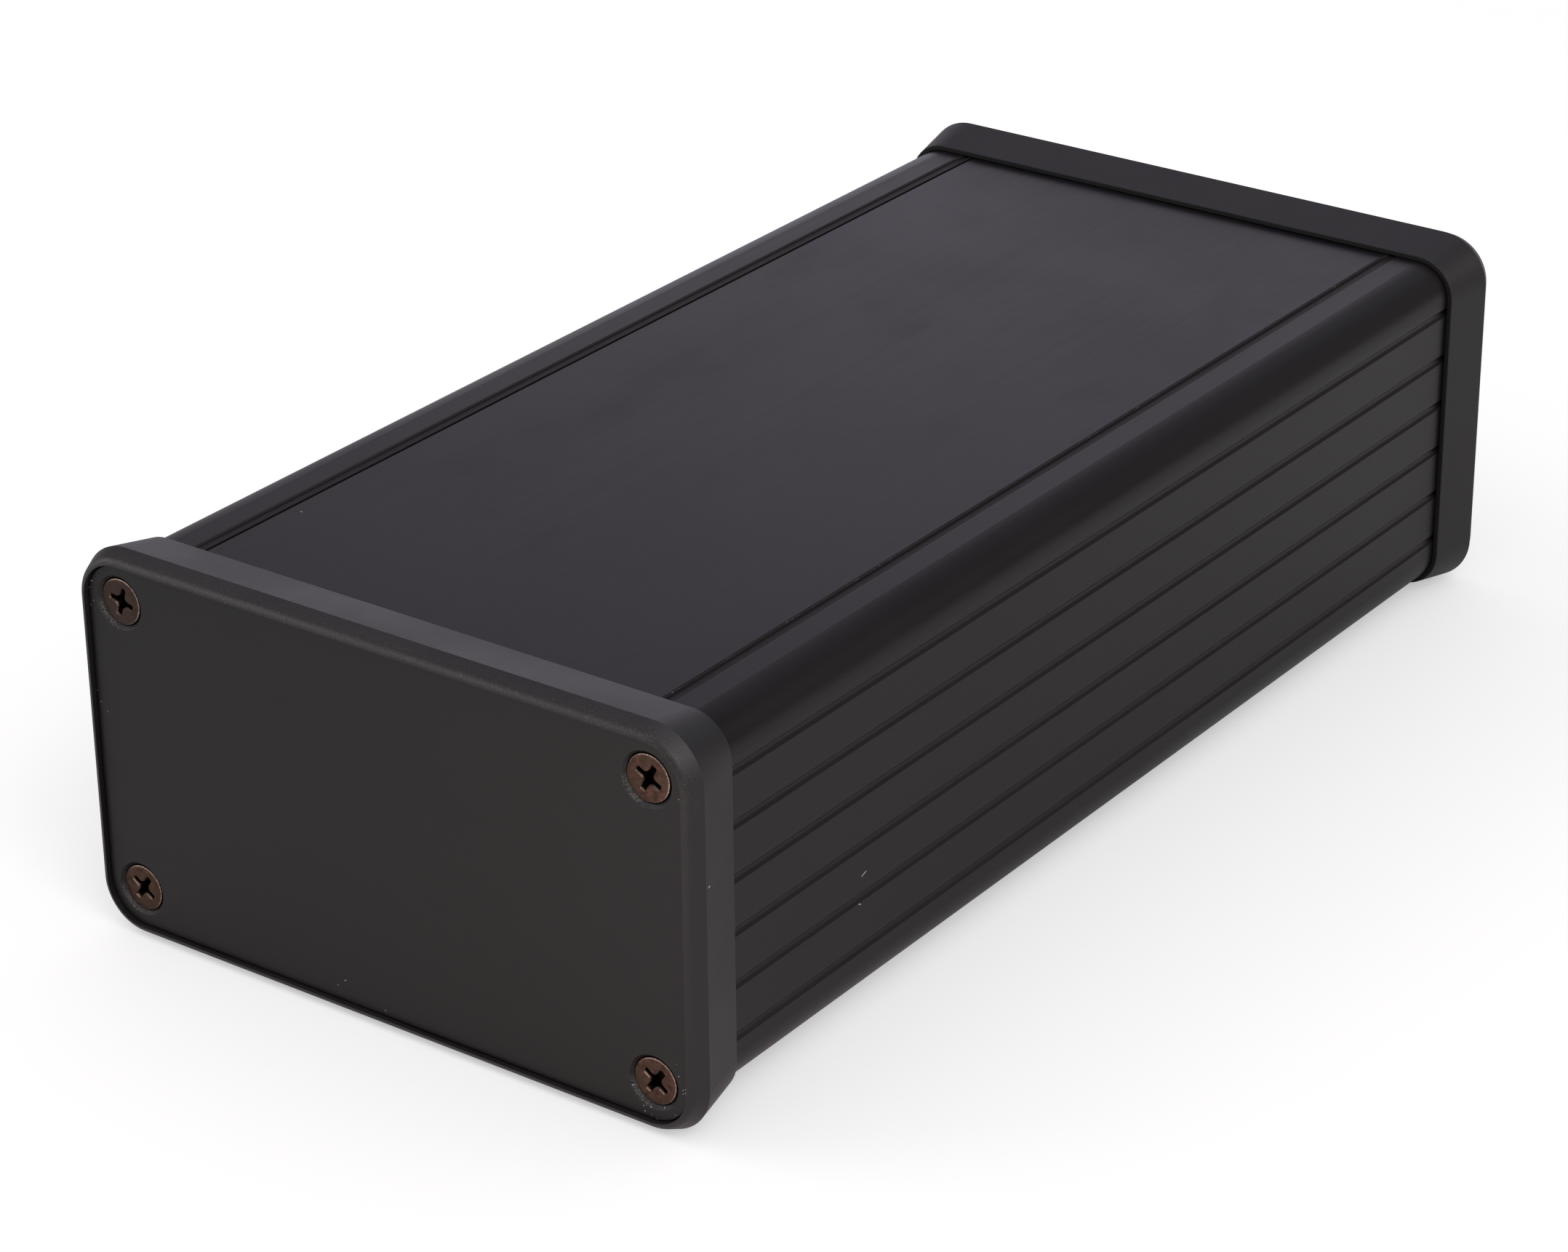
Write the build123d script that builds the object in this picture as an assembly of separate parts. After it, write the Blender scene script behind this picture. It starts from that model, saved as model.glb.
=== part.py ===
from build123d import *
import math
import os

# Extruded aluminium enclosure, in millimetres: an open-topped body extrusion with a
# slide-in cover, and at each end a moulded bezel, a flat plate and four screws.
# X runs across, -Y is the front, +Z is up. The origin lies on the surface that the
# bezels stand on, below the middle of the case.

# Body extrusion, outside
body_length = 206.0
body_width = 103.0
body_height = 56.0
body_corner_radius = 5.6
side_wall = 1.8
floor_thickness = 1.8

# Decorative grooves along both outer sides, counted from the top
groove_count = 6
groove_pitch = 8.0
groove_width = 1.4
groove_depth = 0.4
groove_edge_radius = 0.15
first_groove_drop = 7.4

# Rails along both sides of the open top
rail_width = 11.35
rail_lip_thickness = 2.4
rail_edge_radius = 0.1
rail_groove_inset = 0.2
rail_groove_width = 1.65
rail_groove_depth = 0.3
rail_groove_round = 0.2
ledge_thickness = 1.4
ledge_reach = 1.0

# Circuit board guides inside both walls, one behind each inner groove
board_slot_height = 1.8
guide_rib_thickness = 1.2
guide_reach = 2.4
guide_edge_radius = 0.3

# Screw channels in the four corners of the body
screw_inset_x = 5.4
screw_inset_z = 5.3
channel_radius = 3.2
channel_bore_radius = 1.45
channel_slit = 1.6
channel_slit_angle = 45.0

# Slide-in cover
cover_gap = 0.25
cover_shift = 0.15
cover_drop = 0.05
cover_thickness = 1.8
cover_leg_thickness = 1.8
cover_edge_radius = 0.15
cover_end_clearance = 0.1
tongue_thickness = 1.2
tongue_grip = 1.1
tongue_end_clearance = 0.3
tongue_lift_clearance = 0.15

# Moulded bezel
hood_depth = 5.8
hood_clearance = 0.1
rim_back_overhang = 0.8
rim_overhang = 2.5
web_thickness = 3.0
web_rim = 3.4
screw_pad_radius = 5.0
bevel_depth = 2.7
bevel_inset = 1.25
bevel_round = 1.3
lip_width = 0.7
bezel_edge_radius = 0.25

# End plate
plate_thickness = 1.5
plate_recess = 0.8
plate_clearance = 0.15
plate_edge_radius = 0.15

# Countersunk screws with a cross recess; the turns are counted as seen from outside
head_radius = 3.5
head_rim_height = 0.2
head_edge_round = 0.15
head_drop = 0.35
dimple_round = 0.25
countersink_half_angle = 41.0
shank_radius = 1.4
shank_length = 12.0
shank_point = 0.9
screw_clearance = 0.3
head_clearance = 0.15
recess_span = 4.4
recess_arm = 1.1
recess_depth = 1.5
recess_taper = 12.0
screw_turns = [-37.0, -28.0, -34.0, -15.0]

# How near two edges count as being in the same place
same_place = 0.001

# Places that follow from the sizes
half_width = body_width / 2
body_bottom = rim_overhang
body_top = body_bottom + body_height
body_middle = body_bottom + body_height / 2
body_end = body_length / 2
rail_edge = half_width - rail_width
rail_groove_inner = rail_edge + rail_groove_inset
rail_groove_outer = rail_groove_inner + rail_groove_width
cover_half_width = rail_edge - cover_gap
cover_top = body_top - cover_drop
tongue_slot_top = body_top - rail_lip_thickness
tongue_top = tongue_slot_top - tongue_lift_clearance
tongue_bottom = tongue_top - tongue_thickness
tongue_tip = rail_edge + tongue_grip
rim_back = body_end - hood_depth
web_front = body_end + web_thickness
plate_face = web_front + plate_thickness
bezel_front = plate_face + plate_recess
bevel_start = bezel_front - bevel_depth
bevel_angle = math.degrees(math.atan2(bevel_inset, bevel_depth))
rim_slope = math.degrees(math.atan2(rim_overhang - rim_back_overhang, bevel_start - rim_back))
lip_inset = bevel_inset + lip_width
screw_x = half_width - screw_inset_x
screw_z_low = body_bottom + screw_inset_z
screw_z_high = body_top - screw_inset_z
screw_places = [(side * screw_x, z) for side in (-1, 1) for z in (screw_z_low, screw_z_high)]
head_face = plate_face - head_drop
cone_slope = math.tan(math.radians(countersink_half_angle))
cone_height = (head_radius - shank_radius) / cone_slope
mouth_radius = head_radius + head_clearance + (head_drop + head_rim_height) * cone_slope


def block(x_low, x_high, z_low, z_high):
    """Rectangle in the cross-section, given by its edges."""
    centre = Location(((x_low + x_high) / 2, (z_low + z_high) / 2))
    return centre * Rectangle(x_high - x_low, z_high - z_low)


def outline(growth):
    """The body's outer outline, grown outwards by the same amount all round."""
    shape = RectangleRounded(
        body_width + 2 * growth,
        body_height + 2 * growth,
        body_corner_radius + growth,
    )
    return Location((0, body_middle)) * shape


def bar(section, near, far):
    """Extrude a cross-section from y = near to y = far."""
    return Pos(0, far, 0) * extrude(Plane.XZ * section, amount=far - near)


def both_sides(section):
    """A section on the +X side together with its mirror image."""
    return section + mirror(section, about=Plane.YZ)


def long_edges(solid, x, z):
    """Edges along Y that pass through (x, z) or (-x, z)."""
    return [
        edge
        for edge in solid.edges().filter_by(Axis.Y)
        if math.isclose(abs(edge.center().X), x, abs_tol=same_place)
        and math.isclose(edge.center().Z, z, abs_tol=same_place)
    ]


def groove_height(number):
    """Height of the middle of an outer groove, number 0 being the top one."""
    return body_top - first_groove_drop - number * groove_pitch


def outer_grooves():
    """Round-bottomed grooves down one side and the flat groove along its rail."""
    radius = (groove_width**2 / 4 + groove_depth**2) / (2 * groove_depth)
    side_x = half_width + radius - groove_depth
    cuts = [Location((side_x, groove_height(number))) * Circle(radius) for number in range(groove_count)]
    cuts.append(block(rail_groove_inner, rail_groove_outer, body_top - rail_groove_depth, body_top))
    return Sketch() + cuts


def board_guide(z):
    """Two ribs on the inner wall that hold a circuit board's edge between them."""
    wall_face = half_width - side_wall
    rib_height = 2 * guide_rib_thickness + board_slot_height
    ribs = block(wall_face - guide_reach, wall_face + side_wall / 2, z - rib_height / 2, z + rib_height / 2)
    ribs = fillet(ribs.vertices().group_by(Axis.X)[0], guide_edge_radius)
    slot_half = board_slot_height / 2
    return ribs - block(wall_face - guide_reach, wall_face, z - slot_half, z + slot_half)


def screw_channel(z, towards_middle):
    """Solid corner with a round channel; its bore and slit are cut later."""
    reach = channel_radius * math.sin(math.radians(channel_slit_angle))
    inner_z = z + towards_middle * reach
    outer_z = z - towards_middle * screw_inset_z
    corner = block(screw_x - reach, half_width, min(inner_z, outer_z), max(inner_z, outer_z))
    return corner + Location((screw_x, z)) * Circle(channel_radius)


def channel_opening(z, towards_middle):
    """The bore that a screw cuts its thread in, open to the inside by a slit."""
    slit = Location((-channel_radius, 0)) * Rectangle(2 * channel_radius, channel_slit)
    angle = -channel_slit_angle * towards_middle
    return Location((screw_x, z)) * (Circle(channel_bore_radius) + Rot(0, 0, angle) * slit)


def body_section():
    """Cross-section of the body extrusion."""
    inner_half = half_width - side_wall
    cavity = block(-inner_half, inner_half, body_bottom + floor_thickness, tongue_slot_top)
    mouth = block(-rail_edge, rail_edge, body_middle, body_top + rail_lip_thickness)
    section = outline(0) - cavity - mouth
    ledge = block(rail_edge - ledge_reach, screw_x, tongue_bottom - ledge_thickness, tongue_bottom)
    corners = screw_channel(screw_z_low, 1) + screw_channel(screw_z_high, -1)
    section += both_sides((corners + ledge) & outline(0))
    guides = [board_guide(groove_height(number)) for number in range(1, groove_count - 1)]
    section += both_sides(Sketch() + guides)
    tongue_slot = block(
        rail_edge - ledge_reach,
        tongue_tip + tongue_end_clearance,
        tongue_bottom,
        tongue_slot_top,
    )
    openings = channel_opening(screw_z_low, 1) + channel_opening(screw_z_high, -1)
    return section - both_sides(outer_grooves() + tongue_slot + openings)


def body_extrusion():
    """The open-topped aluminium body."""
    body = bar(body_section(), -body_end, body_end)
    body = fillet(long_edges(body, rail_edge, body_top), rail_edge_radius)
    body = fillet(long_edges(body, rail_groove_outer, body_top), rail_groove_round)
    side_edges = []
    for number in range(groove_count):
        for half in (-groove_width / 2, groove_width / 2):
            side_edges += long_edges(body, half_width, groove_height(number) + half)
    return fillet(side_edges, groove_edge_radius)


def slide_cover():
    """Flat cover with a leg and a tongue along each side, which slides into the rails."""
    plate = block(-cover_half_width, cover_half_width, cover_top - cover_thickness, cover_top)
    leg = block(cover_half_width - cover_leg_thickness, cover_half_width, tongue_bottom, cover_top)
    tongue = block(cover_half_width - cover_leg_thickness, tongue_tip, tongue_bottom, tongue_top)
    section = plate + both_sides(leg + tongue)
    cover_end = body_end - cover_end_clearance
    cover = bar(section, -cover_end, cover_end)
    cover = fillet(long_edges(cover, cover_half_width, cover_top), cover_edge_radius)
    return Pos(cover_shift, 0, 0) * cover


def bezel_shell():
    """Outside of the bezel: a rim that narrows towards the body, a bevel and a rounded lip."""
    widest = Plane.XZ.offset(-bevel_start) * outline(rim_overhang)
    rim = extrude(widest, amount=bevel_start - rim_back, taper=rim_slope)
    shell = rim + extrude(widest, amount=-bevel_depth, taper=bevel_angle)
    front = shell.faces().sort_by(Axis.Y)[-1]
    shell = fillet(front.outer_wire().edges(), bevel_round)
    back = shell.faces().sort_by(Axis.Y)[0]
    return fillet(back.outer_wire().edges(), bezel_edge_radius)


def web_opening():
    """Hole through the bezel's web, which leaves a pad round each screw."""
    opening = outline(-web_rim)
    for x, z in screw_places:
        opening -= Location((x, z)) * Circle(screw_pad_radius)
    return opening


def screw_holes():
    """Countersunk holes of the rear end, which run through its plate and its bezel's web."""
    hole_radius = shank_radius + screw_clearance
    depth = (mouth_radius - hole_radius) / cone_slope
    cone = Pos(0, plate_face - depth / 2, 0) * Rot(-90, 0, 0) * Cone(hole_radius, mouth_radius, depth)
    hole = Pos(0, plate_face, 0) * Rot(90, 0, 0) * extrude(Circle(hole_radius), amount=plate_face - rim_back)
    return Part() + [Pos(x, 0, z) * (cone + hole) for x, z in screw_places]


def rear_bezel():
    """Moulded frame: a hood round the body's end, a web behind the plate and a lip round it."""
    shell = bezel_shell()
    hood = bar(outline(hood_clearance), rim_back, body_end)
    pocket = bar(outline(rim_overhang - lip_inset), web_front, bezel_front)
    window = bar(web_opening(), body_end, web_front)
    return shell - hood - pocket - window - screw_holes()


def rear_end_plate():
    """Flat aluminium plate that drops into the bezel's lip."""
    growth = rim_overhang - lip_inset - plate_clearance
    plate = bar(outline(growth), web_front, plate_face) - screw_holes()
    face = plate.faces().sort_by(Axis.Y)[-1]
    mouths = [wire.edges() for wire in face.inner_wires()]
    plate = fillet(mouths, dimple_round)
    face = plate.faces().sort_by(Axis.Y)[-1]
    return fillet(face.outer_wire().edges(), plate_edge_radius)


def screw():
    """One screw with its head's face at the origin, pointing along -Z."""
    half_profile = make_face(
        Polyline(
            (0, 0),
            (head_radius, 0),
            (head_radius, -head_rim_height),
            (shank_radius, -head_rim_height - cone_height),
            (shank_radius, shank_point - shank_length),
            (0, -shank_length),
            close=True,
        )
    )
    solid = revolve(Plane.XZ * half_profile, Axis.Z)
    rim = solid.edges().filter_by(GeomType.CIRCLE).sort_by(Axis.Z)[-1]
    solid = fillet(rim, head_edge_round)
    cross = Rectangle(recess_span, recess_arm) + Rectangle(recess_arm, recess_span)
    return solid - extrude(cross, amount=-recess_depth, taper=recess_taper)


def rear_plate_screws():
    """The four screws of the rear end."""
    piece = screw()
    return [
        Pos(x, head_face, z) * Rot(-90, 0, 0) * Rot(0, 0, turn) * piece
        for (x, z), turn in zip(screw_places, screw_turns)
    ]


def turned_round(shape):
    """The same piece at the front end."""
    return Rot(0, 0, 180) * shape


def write_node(name, shape):
    """Write one piece, or one group of like pieces, to its STEP file."""
    export_step(shape, f"parts/{name}.step")


def build():
    """Make every piece and write it."""
    os.makedirs("parts", exist_ok=True)
    bezel = rear_bezel()
    plate = rear_end_plate()
    screws = rear_plate_screws()
    write_node("body_extrusion", body_extrusion())
    write_node("slide_cover", slide_cover())
    write_node("rear_bezel", bezel)
    write_node("front_bezel", turned_round(bezel))
    write_node("rear_end_plate", plate)
    write_node("front_end_plate", turned_round(plate))
    write_node("rear_plate_screws", Compound(screws))
    write_node("front_plate_screws", Compound([turned_round(piece) for piece in screws]))


build()
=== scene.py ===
import math

import bmesh
import bpy
from mathutils import Matrix, Vector


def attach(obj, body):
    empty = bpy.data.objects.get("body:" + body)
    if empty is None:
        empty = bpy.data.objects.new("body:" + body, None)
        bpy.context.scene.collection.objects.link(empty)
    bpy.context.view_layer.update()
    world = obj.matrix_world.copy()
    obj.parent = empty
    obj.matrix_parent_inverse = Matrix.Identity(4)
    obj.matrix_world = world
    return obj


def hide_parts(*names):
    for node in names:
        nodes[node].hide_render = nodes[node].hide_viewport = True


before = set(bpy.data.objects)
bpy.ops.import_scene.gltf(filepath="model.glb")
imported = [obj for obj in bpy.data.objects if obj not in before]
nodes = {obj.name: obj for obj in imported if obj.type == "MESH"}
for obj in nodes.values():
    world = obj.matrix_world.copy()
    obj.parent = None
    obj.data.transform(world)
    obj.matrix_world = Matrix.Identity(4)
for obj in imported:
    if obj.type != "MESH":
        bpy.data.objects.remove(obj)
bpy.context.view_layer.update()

# Body extrusion: one open-topped length of extruded aluminium, etched satin and anodised
# black. The die leaves faint lines along its length, and the groove in each rail stays matt,
# with its walls painted a lighter grey as painted light. The right rail's inner edge carries
# painted glints in short dashes. The bezels hide its cut ends.


class Reading:
    """A value at each point of a finish; arithmetic on it adds the Math nodes."""

    def __init__(self, finish, socket):
        self.finish = finish
        self.socket = socket

    def math(self, operation, first, second=0.0):
        sockets = {0: first, 1: second}
        return self.finish.node("ShaderNodeMath", {"operation": operation}, sockets)["Value"]

    def __add__(self, other):
        return self.math("ADD", self, other)

    def __radd__(self, other):
        return self.math("ADD", other, self)

    def __sub__(self, other):
        return self.math("SUBTRACT", self, other)

    def __rsub__(self, other):
        return self.math("SUBTRACT", other, self)

    def __mul__(self, other):
        return self.math("MULTIPLY", self, other)

    def __rmul__(self, other):
        return self.math("MULTIPLY", other, self)

    def __pow__(self, other):
        return self.math("POWER", self, other)

    def __rpow__(self, other):
        return self.math("POWER", other, self)

    def __gt__(self, other):
        return self.math("GREATER_THAN", self, other)

    def __lt__(self, other):
        return self.math("LESS_THAN", self, other)

    def __or__(self, other):
        return self.math("MAXIMUM", self, other)

    def __abs__(self):
        return self.math("ABSOLUTE", self)

    def sign(self):
        return self.math("SIGN", self)


class Finish:
    """A material that is put together node by node around one Principled shader."""

    def __init__(self, name):
        self.material = bpy.data.materials.new(name)
        self.material.use_nodes = True
        self.tree = self.material.node_tree
        self.tree.nodes.clear()
        self.place = self.node("ShaderNodeTexCoord")["Object"]

    def node(self, kind, settings=None, sockets=None):
        """Add a node, its settings first; return its outputs by name and by number."""
        made = self.tree.nodes.new(kind)
        for name, value in (settings or {}).items():
            setattr(made, name, value)
        for name, value in (sockets or {}).items():
            if isinstance(value, Reading):
                self.tree.links.new(value.socket, made.inputs[name])
            else:
                made.inputs[name].default_value = value
        outputs = {number: Reading(self, socket) for number, socket in enumerate(made.outputs)}
        outputs.update({socket.name: Reading(self, socket) for socket in made.outputs})
        return outputs

    def along(self):
        """The three coordinates of the place, each on its own."""
        made = self.node("ShaderNodeSeparateXYZ", {}, {0: self.place})
        return made["X"], made["Y"], made["Z"]

    def noise(self, size, stretch=(1, 1, 1), detail=2.0, rough=0.5):
        """Cloudy noise whose patches are about this many metres across, times the stretch."""
        scale = [1 / (size * s) for s in stretch]
        place = self.node("ShaderNodeMapping", {}, {"Vector": self.place, "Scale": scale})
        sockets = {"Vector": place["Vector"], "Scale": 1.0, "Detail": detail, "Roughness": rough}
        return self.node("ShaderNodeTexNoise", {}, sockets)["Fac"]

    def ramp(self, value, low, high):
        """0 below low, 1 above high, smooth between."""
        settings = {"interpolation_type": "SMOOTHSTEP"}
        sockets = {"Value": value, "From Min": low, "From Max": high}
        return self.node("ShaderNodeMapRange", settings, sockets)["Result"]

    def mix(self, factor, low, high, blend="MIX"):
        """Colour between two colours, or one laid over the other."""
        settings = {"data_type": "RGBA", "blend_type": blend}
        return self.node("ShaderNodeMix", settings, {0: factor, 6: low, 7: high})[2]

    def specks(self, spacing, radius, share):
        """Small round spots, one in each cell of this spacing, kept in this share of the cells."""
        sockets = {"Vector": self.place, "Scale": 1 / spacing, "Randomness": 1.0}
        cell = self.node("ShaderNodeTexVoronoi", {"feature": "F1"}, sockets)
        draw = self.node("ShaderNodeSeparateColor", {}, {0: cell["Color"]})
        size = draw["Green"] * (0.7 * radius / spacing) + 0.3 * radius / spacing
        return (cell["Distance"] < size) * (draw["Red"] < share)

    def flecks(self, rows):
        """Flecks of dust or lint, each given by its middle and half sizes in metres and its turn
        in degrees about each axis."""
        found = []
        for middle, half_sizes, turn in rows:
            seat = {"Vector": self.place, "Location": middle, "Scale": half_sizes}
            seat["Rotation"] = [math.radians(angle) for angle in turn]
            lies = self.node("ShaderNodeMapping", {"vector_type": "TEXTURE"}, seat)["Vector"]
            away = self.node("ShaderNodeVectorMath", {"operation": "LENGTH"}, {0: lies})["Value"]
            found.append(away < 1.0)
        all_found = found[0]
        for one in found[1:]:
            all_found = all_found | one
        return all_found

    def relief(self, height, depth, below=None):
        """Bump of this depth in metres, laid over another bump."""
        sockets = {"Height": height, "Distance": depth, "Strength": 1.0}
        if below is not None:
            sockets["Normal"] = below
        return self.node("ShaderNodeBump", {}, sockets)["Normal"]

    def surface(self, sockets):
        """End the material with a Principled shader."""
        shader = self.node("ShaderNodeBsdfPrincipled", {}, sockets)
        self.node("ShaderNodeOutputMaterial", {}, {"Surface": shader["BSDF"]})
        return self.material


class Anodised(Finish):
    """Etched and black anodised aluminium: cloudy colour, fine grain and faint lines one way."""

    cloud_size = 0.035
    line_width = 0.0006
    line_depth = 0.0000035
    grain_size = 0.00025
    grain_depth = 0.000010
    glint = (0.40, 0.38, 0.37, 1)
    dust = (0.42, 0.41, 0.40, 1)

    def __init__(self, name, colour, worn, rough, lines):
        super().__init__(name)
        cloud = self.ramp(self.noise(self.cloud_size, detail=3.0), 0.35, 0.7)
        drawn = self.noise(self.line_width, stretch=lines)
        self.grain = self.noise(self.grain_size, rough=0.6)
        self.tint = self.mix(cloud, colour, worn)
        self.rough = rough + 0.05 * (cloud - 0.5) + 0.08 * (drawn - 0.5)
        self.normal = self.relief(drawn, self.line_depth)
        self.normal = self.relief(self.grain, self.grain_depth, self.normal)

    def recolour(self, where, colour, rougher):
        """Change the colour and the roughness where the mask is 1."""
        self.tint = self.mix(where, self.tint, colour)
        self.rough = self.rough + rougher * where

    def scatter(self, marks, colour):
        """Lay small marks of one colour over the finish; they are rougher than it."""
        self.recolour(marks, colour, rougher=0.25)

    def done(self, ior):
        return self.surface(
            {"Base Color": self.tint, "Roughness": self.rough, "Normal": self.normal, "IOR": ior}
        )


body_top = 0.0585
groove_inner = 0.04035
groove_outer = 0.0420
groove_depth = 0.0003
hair = 0.00005
burr_size = 0.00022
glint_patch_size = 0.006
body_black = (0.0054, 0.0038, 0.0040, 1)
body_worn = (0.0066, 0.0047, 0.0049, 1)
matt_black = (0.0055, 0.0047, 0.0040, 1)
groove_wall_painted_light = (0.034, 0.031, 0.028, 1)
extruded_ior = 1.37
lengthwise = (1, 120, 1)
side_lint = (
    ((0.0515, -0.06645, 0.02247), (0.001, 0.0007, 0.00010), (18, 0, 0)),
    ((0.0515, -0.06751, 0.01816), (0.001, 0.00035, 0.00010), (-30, 0, 0)),
)

body = Anodised("anodised_body", body_black, body_worn, rough=0.36, lines=lengthwise)
x, _, z = body.along()
out = abs(x)
groove_band = (z > body_top - 2 * groove_depth) * (out < groove_outer + hair)
body.recolour(groove_band, matt_black, rougher=0.18)
below_edge = (z < body_top - hair) * (z > body_top - groove_depth + hair)
# Painted light: the groove walls are painted a lighter grey than the body, for the light they
# catch.
groove_wall = groove_band * (below_edge * (out > groove_inner - hair))
body.tint = body.mix(groove_wall, body.tint, groove_wall_painted_light)
# Painted glints: short bright dashes on the right rail's inner edge only, standing in for
# highlights.
glint_dashes = body.ramp(body.noise(burr_size, stretch=(1, 3, 1), rough=0.6), 0.60, 0.66)
painted_edge_glints = glint_dashes * body.ramp(body.noise(glint_patch_size), 0.52, 0.60) * (x > 0.0)
on_edge = (z > body_top - 2 * hair) * (out < groove_inner)
body.scatter(on_edge * painted_edge_glints, Anodised.glint)
body.scatter(body.specks(spacing=0.011, radius=0.00020, share=0.05), Anodised.dust)
body.scatter(body.flecks(side_lint), Anodised.dust)
nodes["body_extrusion"].material_slots[0].material = body.done(extruded_ior)

# Slide-in cover: a flat extrusion of the same aluminium, pushed into the rails from one end
# and trapped there by the bezels. It has the same black anodised finish, with some dust.
cover_black = (0.0040, 0.0036, 0.0044, 1)
cover_worn = (0.0050, 0.0045, 0.0054, 1)
cover_smudge_size = 0.016
cover_fleck = (((-0.03761, -0.07841, body_top), (0.00022, 0.00009, 0.001), (0, 0, 0)),)

cover = Anodised("anodised_cover", cover_black, cover_worn, rough=0.35, lines=lengthwise)
smudge = cover.noise(cover_smudge_size, stretch=(1, 1.6, 1), detail=4.0, rough=0.6)
cover.rough = cover.rough + 0.05 * cover.ramp(smudge, 0.52, 0.75)
cover.scatter(cover.specks(spacing=0.009, radius=0.00018, share=0.06), Anodised.dust)
cover.scatter(cover.flecks(cover_fleck), Anodised.glint)
nodes["slide_cover"].material_slots[0].material = cover.done(extruded_ior)

# Bezels: black moulded plastic with a fine spark-eroded texture, one over each end of the
# body, held between the body and the end plate by the screws. The grain of the upper bevels
# carries painted glints, and the hoods' ends next to the body carry a painted shadow.
bezel_black = (0.0085, 0.0072, 0.0073, 1)
bezel_worn = (0.0105, 0.0090, 0.0092, 1)
bezel_painted_glint = (0.075, 0.060, 0.052, 1)
bezel_lint = (0.45, 0.43, 0.41, 1)
hood_painted_shadow = (0.0015, 0.0013, 0.0013, 1)
bevel_inner, bevel_outer = 0.1050, 0.1080
bevel_low, bevel_high = 0.046, 0.056
hood_end, hood_side = 0.09722, 0.09740
corner_right, corner_top, corner_front = 0.0415, 0.0115, -0.1075
bezel_cloud_size = 0.02
spark_size, spark_depth = 0.00030, 0.000045
pit_size, pit_depth = 0.00012, 0.000012
sparkle_size = 0.00017
bezel_nicks = (
    ((0.0538, -0.10475, 0.03867), (0.001, 0.0003, 0.00012), (0, 0, 0)),
    ((0.0538, -0.10116, 0.06037), (0.001, 0.0006, 0.00008), (35, 0, 0)),
)

bezel = Finish("bezel_plastic")
x, y, z = bezel.along()
cloud = bezel.ramp(bezel.noise(bezel_cloud_size, detail=3.0), 0.35, 0.7)
tint = bezel.mix(cloud, bezel_black, bezel_worn)
# Painted glints: lighter specks in the grain of the upper bevels only, standing in for highlights.
bevel = bezel.ramp(abs(y), bevel_inner, bevel_outer) * bezel.ramp(z, bevel_low, bevel_high)
bevel_painted_glints = bezel.ramp(bezel.noise(sparkle_size), 0.56, 0.72) * bevel
tint = bezel.mix(bevel_painted_glints, tint, bezel_painted_glint)
lower_corner = (z < corner_top) * (x > corner_right) * (y < corner_front)
dropped = bezel.specks(spacing=0.0009, radius=0.00011, share=1.00) * lower_corner
tint = bezel.mix(dropped | bezel.flecks(bezel_nicks), tint, bezel_lint)
# Painted shadow: the hood's end next to the body is painted near black and made rougher.
facing_body = 1 - bezel.ramp(abs(y), hood_end, hood_side)
tint = bezel.mix(facing_body, tint, hood_painted_shadow)
rough = 0.44 + 0.06 * (cloud - 0.5) + 0.5 * facing_body
normal = bezel.relief(bezel.noise(spark_size, detail=2.5, rough=0.65), spark_depth)
normal = bezel.relief(bezel.noise(pit_size, detail=1.0), pit_depth, normal)
bezel_finish = bezel.surface(
    {"Base Color": tint, "Roughness": rough, "Normal": normal, "IOR": 1.46}
)
for end in ("front", "rear"):
    nodes[end + "_bezel"].material_slots[0].material = bezel_finish

# End plates: flat sheet aluminium, dimpled for the screws and anodised black. Each drops into
# its bezel's lip and is held by the four screws. The dimpling punch leaves chatter marks, which
# are painted lighter on the lower left of each dimple as a painted highlight. A painted shadow
# runs round the plate's edge.
plate_half_width = 0.0519
plate_half_height = 0.0284
plate_corner = 0.0060
plate_front = -0.1075
plate_rim = 0.0003
screw_x = 0.0461
screw_middle = 0.0305
screw_rise = 0.0227
dimple_inner_edge = (0.0034, 0.0037)
dimple_outer_edge = (0.0040, 0.0044)
punch_depth = 0.00004
punch_marks_a_radian = 34.0
dust_right, dust_top = 0.0425, 0.0120
plate_smear_size = 0.012
plate_black = (0.0052, 0.0040, 0.0040, 1)
plate_worn = (0.0064, 0.0050, 0.0049, 1)
chatter_painted_highlight = (0.100, 0.090, 0.086, 1)
plate_edge_painted_shadow = (0.0010, 0.0009, 0.0009, 1)
lint_grey = (0.36, 0.345, 0.33, 1)
crosswise = (120, 1, 1)
# Flecks on the front plate in millimetres: across, up, length, thickness, and slant in degrees.
plate_flecks = (
    (-51.17, 55.28, 0.45, 0.09, 0), (-51.63, 54.15, 0.15, 0.12, 0), (-50.99, 52.29, 0.12, 0.12, 0),
    (-51.63, 51.44, 0.12, 0.12, 0), (-51.21, 36.35, 0.14, 0.14, 0), (-50.07, 35.12, 0.14, 0.12, 0),
    (-51.75, 37.98, 0.14, 0.12, 0), (-7.88, 5.40, 0.50, 0.09, -25), (-9.30, 4.17, 0.22, 0.09, 40),
    (-6.40, 1.62, 0.15, 0.12, 0), (-0.76, 2.95, 0.16, 0.12, 0), (51.24, 51.87, 0.15, 0.15, 0),
    (49.16, 9.77, 0.15, 0.15, 0), (42.45, 6.06, 0.16, 0.16, 0), (51.42, 8.55, 0.18, 0.18, 0),
    (51.52, 7.68, 0.16, 0.20, 0), (51.36, 6.05, 0.16, 0.22, 0), (47.57, 4.25, 0.16, 0.16, 0),
    (46.74, 4.97, 0.14, 0.14, 0), (45.50, 3.74, 0.20, 0.14, 30), (44.50, 2.81, 0.20, 0.16, 0),
)
fleck_half = 0.6 / 1000


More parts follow.
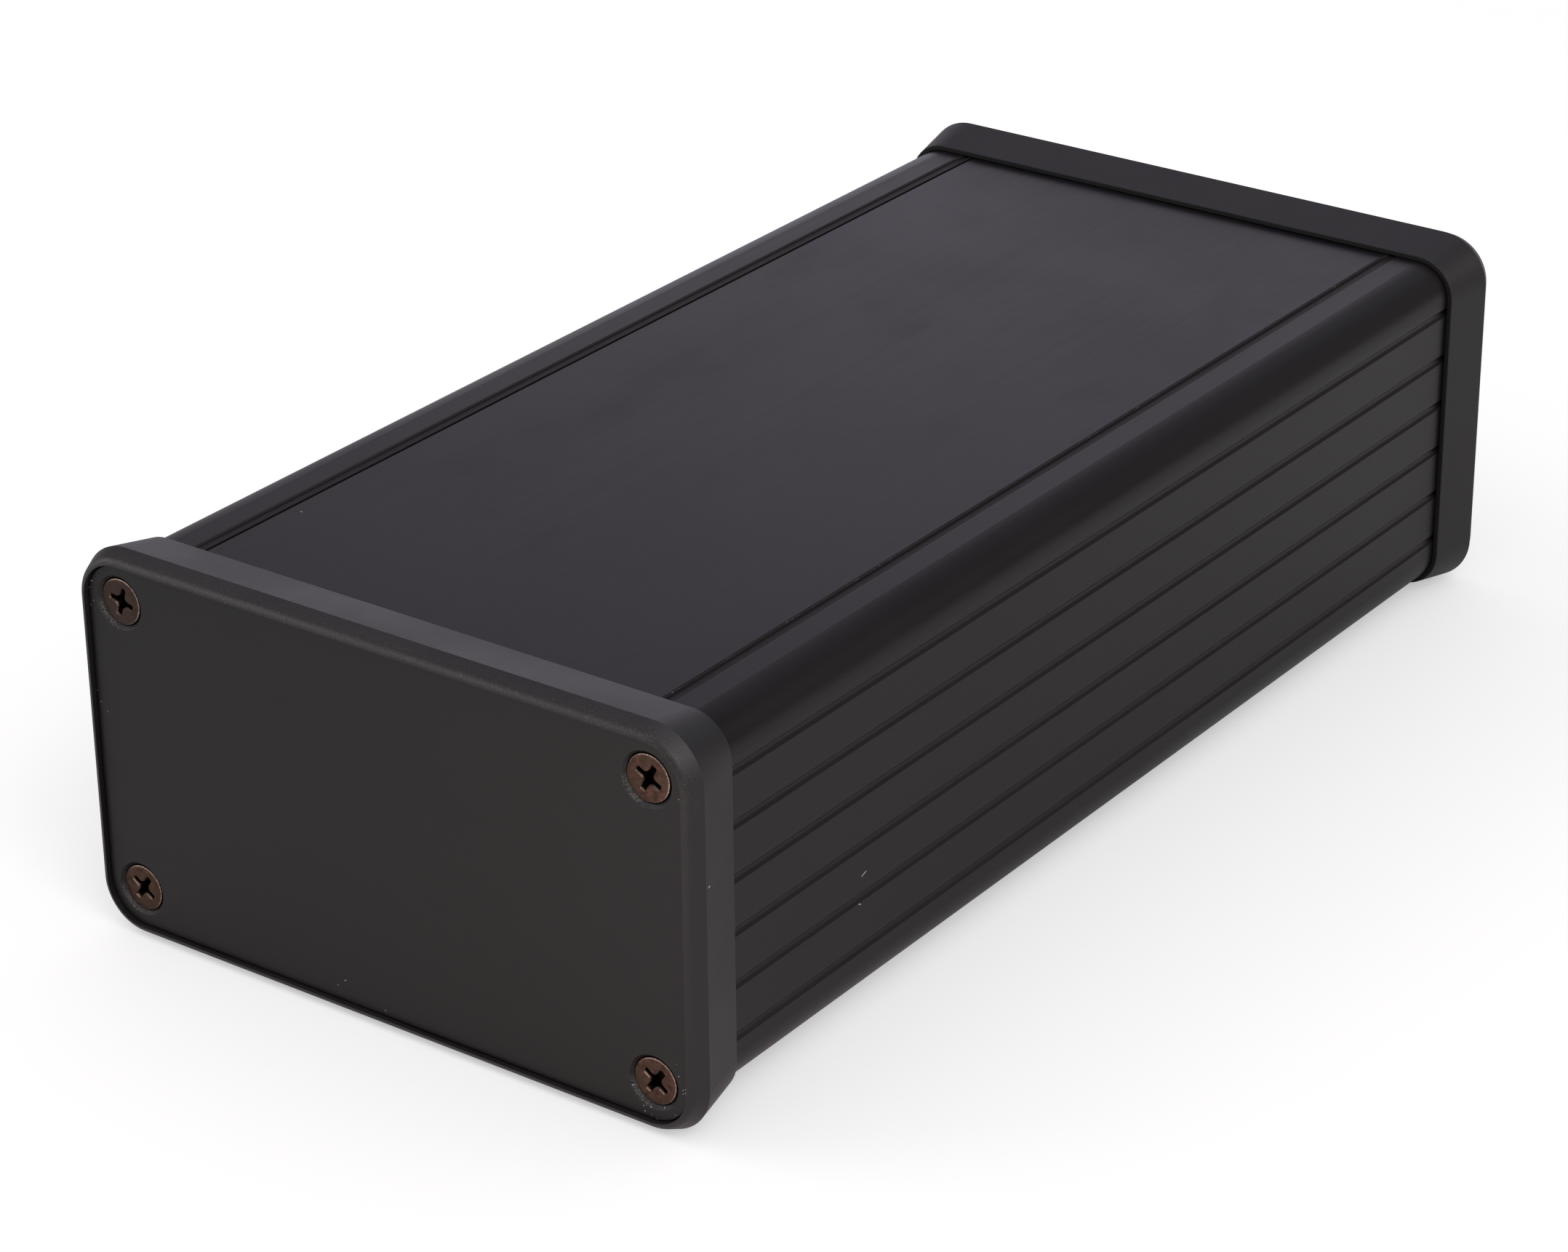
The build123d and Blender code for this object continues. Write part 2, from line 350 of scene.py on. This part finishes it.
def from_screw(x, z):
    """How far aside of and above its nearest screw a place on an end lies, and how far off."""
    up = z - screw_middle
    aside = x - x.sign() * screw_x
    above = up - up.sign() * screw_rise
    return aside, above, (aside * aside + above * above) ** 0.5


plate = Anodised("anodised_plate", plate_black, plate_worn, rough=0.38, lines=crosswise)
x, y, z = plate.along()
aside, above, radius = from_screw(x, z)
past_dimple = plate.ramp(radius, *dimple_outer_edge)
dimple = plate.ramp(radius, *dimple_inner_edge) * (1 - past_dimple)
bearing = plate.node("ShaderNodeMath", {"operation": "ARCTAN2"}, {0: aside, 1: above})["Value"]
sockets = {"W": bearing * punch_marks_a_radian, "Scale": 1.0, "Detail": 2.0}
punched = plate.node("ShaderNodeTexNoise", {"noise_dimensions": "1D"}, sockets)["Fac"]
plate.normal = plate.relief(punched * dimple, punch_depth, plate.normal)
# Painted highlight: the chatter marks are painted lighter only on the lower left of each dimple.
lower_left = plate.ramp((aside + above) * -1000.0, 3.8, 5.4)
chatter = plate.ramp(punched + 1.6 * (plate.grain - 0.5), 0.46, 0.66)
plate.tint = plate.mix(dimple * lower_left * chatter, plate.tint, chatter_painted_highlight)
smear = plate.noise(plate_smear_size, stretch=(2.5, 1, 1), detail=4.0, rough=0.6)
plate.rough = plate.rough + 0.10 * plate.ramp(smear, 0.50, 0.75)
plate.scatter(plate.specks(spacing=0.010, radius=0.00018, share=0.10), Anodised.dust)
# Painted shadow: a thin dark band round the plate's edge, where it meets the bezel's lip.
past_side = (abs(x) - (plate_half_width - plate_corner)) | 0.0
past_top = (abs(z - screw_middle) - (plate_half_height - plate_corner)) | 0.0
from_corner = (past_side * past_side + past_top * past_top) ** 0.5
rim = plate.ramp(from_corner, plate_corner - plate_rim, plate_corner)
plate.recolour(rim, plate_edge_painted_shadow, rougher=0.3)
dusty = (x > dust_right) * (z < dust_top) * (y < 0.0) * past_dimple
crumbs = plate.specks(spacing=0.0008, radius=0.00013, share=1.00)
plate.scatter(dusty * crumbs, Anodised.dust)
fallen = [
    (
        (across / 1000, plate_front, up / 1000),
        (fleck_half * long, 0.001, fleck_half * thin),
        (0, slant, 0),
    )
    for across, up, long, thin, slant in plate_flecks
]
plate.scatter(plate.flecks(fallen), lint_grey)
plate_finish = plate.done(1.40)
for end in ("front", "rear"):
    nodes[end + "_end_plate"].material_slots[0].material = plate_finish

# Screws: countersunk steel, cold headed with a cross recess and a rolled thread, then plated
# a dark bronze. The four at each end pass through the plate and the bezel's web, and cut
# their thread in the body's corner channels.
head_radius = 0.0035
head_face = 0.10715
edge_round = 0.00018
rim_drop = 0.0002
cone_end = -0.0026
core_radius = 0.0014
shank_end = -0.0120
point_start = -0.0111
turned_steps = 72
recess_span = 0.0045
recess_arm = 0.0011
recess_inner_round = 0.00060
recess_tip_round = 0.00028
# The recess goes down in three steps; each row is how far it narrows and how far it drops.
recess_insets = ((0.00005, 0.00006), (0.00020, 0.0013), (0.00014, 0.0004))
crest_radius = 0.00172
pitch = 0.00127
thread_start = -0.0032
thread_turns = 6
steps_a_turn = 24
ridge_half = 0.00030
ridge_root = 0.00004
weld = 0.000001
head_rim_edge = (0.00324, 0.00338)
recess_radius = 0.0026
brink_depths = (0.00002, 0.00006)
sunk_depths = (0.00010, 0.0005)
mottle_size = 0.0009
patch_size = 0.0022
chip_size = 0.00030
wave_size, wave_depth = 0.00035, 0.00002
grit_size, grit_depth = 0.00010, 0.000006
sharp_from = math.radians(32)
# Each screw's side, its level, and how far it is turned, in degrees.
screw_seats = ((-1, 1, -15), (1, 1, -28), (-1, -1, -34), (1, -1, -37))
dark_bronze = (0.050, 0.028, 0.021, 1)
light_bronze = (0.125, 0.068, 0.050, 1)
olive_bronze = (0.080, 0.052, 0.034, 1)
brown_bronze = (0.050, 0.038, 0.034, 1)
recess_painted_shade = (0.010, 0.007, 0.006, 1)
bare_copper_and_glint = (0.42, 0.31, 0.25, 1)


def cross_recess(piece):
    """Tapered cross recess with rounded corners, from a small square with four arms."""
    half = recess_arm / 2
    reach = recess_span / 2 - half
    bmesh.ops.create_grid(piece, x_segments=1, y_segments=1, size=half)
    for edge in piece.edges[:]:
        middle = (edge.verts[0].co + edge.verts[1].co) / 2
        arm = bmesh.ops.extrude_edge_only(piece, edges=[edge])["geom"]
        tips = [part for part in arm if isinstance(part, bmesh.types.BMVert)]
        bmesh.ops.translate(piece, verts=tips, vec=middle.normalized() * reach)
    bmesh.ops.dissolve_faces(piece, faces=piece.faces[:])
    inner = [vert for vert in piece.verts if vert.co.length < recess_arm]
    tips = [vert for vert in piece.verts if vert.co.length > recess_arm]
    for corners, offset in ((inner, recess_inner_round), (tips, recess_tip_round)):
        bmesh.ops.bevel(
            piece, geom=corners, offset=offset, segments=4, profile=0.5,
            affect="VERTICES", material=-1,
        )
    (well,) = piece.faces
    for inset, drop in recess_insets:
        bmesh.ops.inset_region(
            piece, faces=[well], thickness=inset, depth=-drop,
            use_even_offset=True, use_boundary=True,
        )


def thread(piece):
    """Helical ridge along the shank."""
    low = core_radius - ridge_root
    corners = [(low, ridge_half), (crest_radius, 0), (low, -ridge_half)]
    ring = [piece.verts.new((radius, 0, thread_start + rise)) for radius, rise in corners]
    edges = [piece.edges.new((ring[k - 1], ring[k])) for k in range(len(ring))]
    last = bmesh.ops.spin(
        piece, geom=ring + edges, cent=(0, 0, 0), axis=(0, 0, 1),
        dvec=(0, 0, -pitch / steps_a_turn), angle=math.tau * thread_turns,
        steps=thread_turns * steps_a_turn,
    )["geom_last"]
    last_edges = [part for part in last if isinstance(part, bmesh.types.BMEdge)]
    for rim in (edges, last_edges):
        bmesh.ops.contextual_create(piece, geom=rim)


def screw():
    """One screw about the Z axis, its head's face at z = 0."""
    piece = bmesh.new()
    cross_recess(piece)
    profile = [(head_radius - edge_round, 0.0), (head_radius - edge_round / 3, -edge_round / 3)]
    profile += [(head_radius, -edge_round), (head_radius, -rim_drop)]
    profile += [(core_radius, cone_end), (core_radius, point_start), (core_radius / 3, shank_end)]
    chain = [piece.verts.new((radius, 0, height)) for radius, height in profile]
    edges = [piece.edges.new(pair) for pair in zip(chain, chain[1:])]
    bmesh.ops.spin(
        piece, geom=chain + edges, cent=(0, 0, 0), axis=(0, 0, 1), angle=math.tau,
        steps=turned_steps, use_merge=True,
    )
    bmesh.ops.remove_doubles(piece, verts=piece.verts[:], dist=weld)
    open_edges = [edge for edge in piece.edges if edge.is_boundary]
    face = [edge for edge in open_edges if edge.verts[0].co.z > -rim_drop]
    tip = [edge for edge in open_edges if edge not in face]
    for rim in (face, tip):
        bmesh.ops.triangle_fill(piece, use_beauty=True, edges=rim)
    thread(piece)
    bmesh.ops.recalc_face_normals(piece, faces=piece.faces[:])
    return piece


def screw_group(name, node, end, finish):
    """The four screws of one end, as one mesh; end is -1 at the front and 1 at the rear."""
    whole = bmesh.new()
    for side, level, turn in screw_seats:
        piece = screw()
        seat = Matrix.Translation((side * screw_x, -head_face, screw_middle + level * screw_rise))
        tilt = Matrix.Rotation(math.radians(90), 4, "X")
        stand = seat @ tilt @ Matrix.Rotation(math.radians(turn), 4, "Z")
        if end > 0:
            stand = Matrix.Rotation(math.pi, 4, "Z") @ stand
        bmesh.ops.transform(piece, verts=piece.verts[:], matrix=stand)
        one = bpy.data.meshes.new("one_screw")
        piece.to_mesh(one)
        piece.free()
        whole.from_mesh(one)
        bpy.data.meshes.remove(one)
    mesh = bpy.data.meshes.new(name)
    whole.to_mesh(mesh)
    whole.free()
    mesh.polygons.foreach_set("use_smooth", [True] * len(mesh.polygons))
    mesh.set_sharp_from_angle(angle=sharp_from)
    mesh.materials.append(finish)
    made = bpy.data.objects.new(name, mesh)
    bpy.context.scene.collection.objects.link(made)
    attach(made, "root")
    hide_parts(node)


bronze = Finish("screw_steel")
x, y, z = bronze.along()
mottle = bronze.ramp(bronze.noise(mottle_size, detail=4.0, rough=0.6), 0.34, 0.68)
patch = bronze.ramp(bronze.noise(patch_size), 0.40, 0.62)
tint = bronze.mix(mottle, dark_bronze, light_bronze)
tint = bronze.mix(patch * 0.7, tint, olive_bronze)
upper_left = (x < 0.0) * (z > screw_middle)
tint = bronze.mix(upper_left * 0.65, tint, brown_bronze)
depth = head_face - abs(y)
# Painted shade: the recess is painted darker with depth, nearly black towards its bottom.
sunk = bronze.ramp(depth, *sunk_depths)
tint = bronze.mix(sunk, tint, recess_painted_shade)
aside, above, radius = from_screw(x, z)
# Painted highlight: the head's rim is painted bare copper, faintly all round as wear and strongly
# on the upper right as painted highlight; the recess's brink gets a lighter band, partly wear and
# partly painted glint.
upper_right = bronze.ramp((aside + above) * 1000.0, -0.5, 2.5)
head_rim_glint = bronze.ramp(radius, *head_rim_edge) * (0.25 + 0.75 * upper_right)
recess_brink = bronze.ramp(depth, *brink_depths) * (1 - sunk) * (radius < recess_radius)
patchy = 0.4 + 0.6 * bronze.ramp(bronze.noise(chip_size), 0.42, 0.60)
tint = bronze.mix((head_rim_glint | (recess_brink * 0.6)) * patchy, tint, bare_copper_and_glint)
normal = bronze.relief(bronze.noise(wave_size, detail=3.0), wave_depth)
normal = bronze.relief(bronze.noise(grit_size), grit_depth, normal)
rough = 0.36 + 0.14 * mottle - 0.12 * head_rim_glint
screw_finish = bronze.surface(
    {"Base Color": tint, "Metallic": 1.0, "Roughness": rough, "Normal": normal}
)
screw_group("front_screws", "front_plate_screws", -1, screw_finish)
screw_group("rear_screws", "rear_plate_screws", 1, screw_finish)

# Studio: a pale floor in a white sweep. The light falls evenly from above, with a large soft
# lamp on each side of the front, and the walls that the gloss mirrors are white in front and
# dimmer behind.
floor_half = 4.0
floor_pale = (0.81, 0.79, 0.795, 1)
floor_light = (0.83, 0.81, 0.815, 1)
floor_lift = (0.45, 0.45, 0.45, 1)
glow_place = (0.10, -0.25, 0)
glow_reach = 0.12
glow_colour = (1.12, 0.84, 0.88, 1)
unlit = (0, 0, 0, 1)

sheet = bmesh.new()
bmesh.ops.create_grid(sheet, x_segments=1, y_segments=1, size=floor_half)
floor_mesh = bpy.data.meshes.new("floor")
sheet.to_mesh(floor_mesh)
sheet.free()
floor = bpy.data.objects.new("floor", floor_mesh)
bpy.context.scene.collection.objects.link(floor)

paper = Finish("floor")
seen = paper.node("ShaderNodeLightPath")
mirrored = seen["Is Glossy Ray"] | seen["Is Transmission Ray"]
pale = paper.mix(paper.noise(0.5), floor_pale, floor_light)
shine = paper.mix(seen["Is Camera Ray"], unlit, floor_lift)
# Painted reflection: a glowing pink patch on the floor to the front right, seen only in glossy
# reflections.
ends = {0: paper.place, 1: glow_place}
gap = paper.node("ShaderNodeVectorMath", {"operation": "DISTANCE"}, ends)["Value"]
near = math.exp(-1) ** ((gap * (1 / glow_reach)) ** 2.0)
shine = paper.mix(near * mirrored, shine, glow_colour, "ADD")
paper_sockets = {"Base Color": pale, "Roughness": 0.9, "Specular IOR Level": 0.0}
paper_sockets.update({"Emission Color": shine, "Emission Strength": 1.0})
floor_mesh.materials.append(paper.surface(paper_sockets))


class Walls(Finish):
    """The studio's walls, made with the same calls as a finish."""

    def __init__(self, world):
        self.tree = world.node_tree
        self.tree.nodes.clear()
        self.place = self.node("ShaderNodeTexCoord")["Generated"]

    def towards(self, azimuth, elevation, tight):
        """1 in this direction and less away from it; azimuth 0 is in front, 90 on the right."""
        turn, rise = math.radians(azimuth), math.radians(elevation)
        across = math.cos(rise)
        way = (math.sin(turn) * across, -math.cos(turn) * across, math.sin(rise))
        sockets = {0: self.place, 1: way}
        dot = self.node("ShaderNodeVectorMath", {"operation": "DOT_PRODUCT"}, sockets)["Value"]
        return (0.5 * dot + 0.5) ** tight

    def light(self, colour):
        sockets = {"Color": colour, "Strength": 1.0}
        return self.node("ShaderNodeBackground", {}, sockets)["Background"]

    def either(self, factor, first, second):
        sockets = {0: factor, 1: first, 2: second}
        return self.node("ShaderNodeMixShader", {}, sockets)["Shader"]


even_light = (0.56, 0.56, 0.56, 1)
backdrop = (1, 1, 1, 1)
gloss = (0.12, 0.09, 0.13, 1)
# Each soft light on the walls: its azimuth and elevation in degrees, how tight, its colour.
wall_lights = (
    (108, 30, 40, (1.70, 1.70, 1.70, 1)),
    (86, 50, 60, (2.50, 2.10, 2.10, 1)),
    (288, 15, 40, (1.70, 1.70, 1.70, 1)),
    (324, 20, 30, (1.70, 1.70, 1.70, 1)),
    (40, 33, 60, (1.54, 1.54, 1.54, 1)),
    (72, 20, 40, (1.40, 1.40, 1.40, 1)),
    (0, 80, 20, (1.23, 1.23, 1.23, 1)),
    (216, 8, 60, (0.93, 0.90, 1.03, 1)),
    (202, 14, 110, (0.30, 0.29, 0.32, 1)),
    (200, 70, 30, (0.64, 0.69, 0.80, 1)),
    (0, 30, 30, (0.45, 0.45, 0.45, 1)),
    (180, 20, 60, (0.31, 0.39, 0.35, 1)),
    (144, 32, 60, (0.12, 0.13, 0.11, 1)),
    (144, 12, 60, (0.10, 0.10, 0.10, 1)),
)

studio = bpy.data.worlds.new("studio")
bpy.context.scene.world = studio
studio.use_nodes = True
studio.cycles.sampling_method = "NONE"
walls = Walls(studio)
for azimuth, elevation, tight, colour in wall_lights:
    gloss = walls.mix(walls.towards(azimuth, elevation, tight), gloss, colour, "ADD")
seen = walls.node("ShaderNodeLightPath")
mirrored = seen["Is Glossy Ray"] | seen["Is Transmission Ray"]
lit = walls.either(mirrored, walls.light(even_light), walls.light(gloss))
shown = walls.either(seen["Is Camera Ray"], lit, walls.light(backdrop))
walls.node("ShaderNodeOutputWorld", {}, {"Surface": shown})

lamp_aim = Vector((0, 0, 0.03))


def facing(azimuth, elevation):
    """A turn that points a lamp or a camera at the case from this direction."""
    level = Matrix.Rotation(math.radians(azimuth), 4, "Z")
    return level @ Matrix.Rotation(math.radians(90 - elevation), 4, "X")


def lamp(name, azimuth, elevation, distance, size, power):
    """A square soft lamp that faces the case."""
    data = bpy.data.lights.new(name, "AREA")
    data.size = size
    data.energy = power
    made = bpy.data.objects.new(name, data)
    back = Matrix.Translation((0, 0, distance))
    made.matrix_world = Matrix.Translation(lamp_aim) @ facing(azimuth, elevation) @ back
    bpy.context.scene.collection.objects.link(made)


lamp("key", azimuth=55, elevation=42, distance=1.2, size=0.6, power=3.0)
lamp("fill", azimuth=-60, elevation=35, distance=1.5, size=0.9, power=2.7)

# Camera: a long lens on a stand, above and to the right of the front end. It looks down along
# the case, turned a little about its own axis, as in the photograph.
camera_place = Vector((0.365265, -0.516176, 0.326075))
camera_azimuth = 36.015
camera_elevation = 25.858
camera_roll = -0.561
camera_data = bpy.data.cameras.new("camera")
camera_data.sensor_width = 36.0
camera_data.lens = 104.697
camera_data.clip_start = 0.01
camera = bpy.data.objects.new("camera", camera_data)
bpy.context.scene.collection.objects.link(camera)
roll = Matrix.Rotation(math.radians(camera_roll), 4, "Z")
turned = facing(camera_azimuth, camera_elevation) @ roll
camera.matrix_world = Matrix.Translation(camera_place) @ turned
bpy.context.scene.camera = camera
bpy.context.scene.view_settings.view_transform = "Standard"
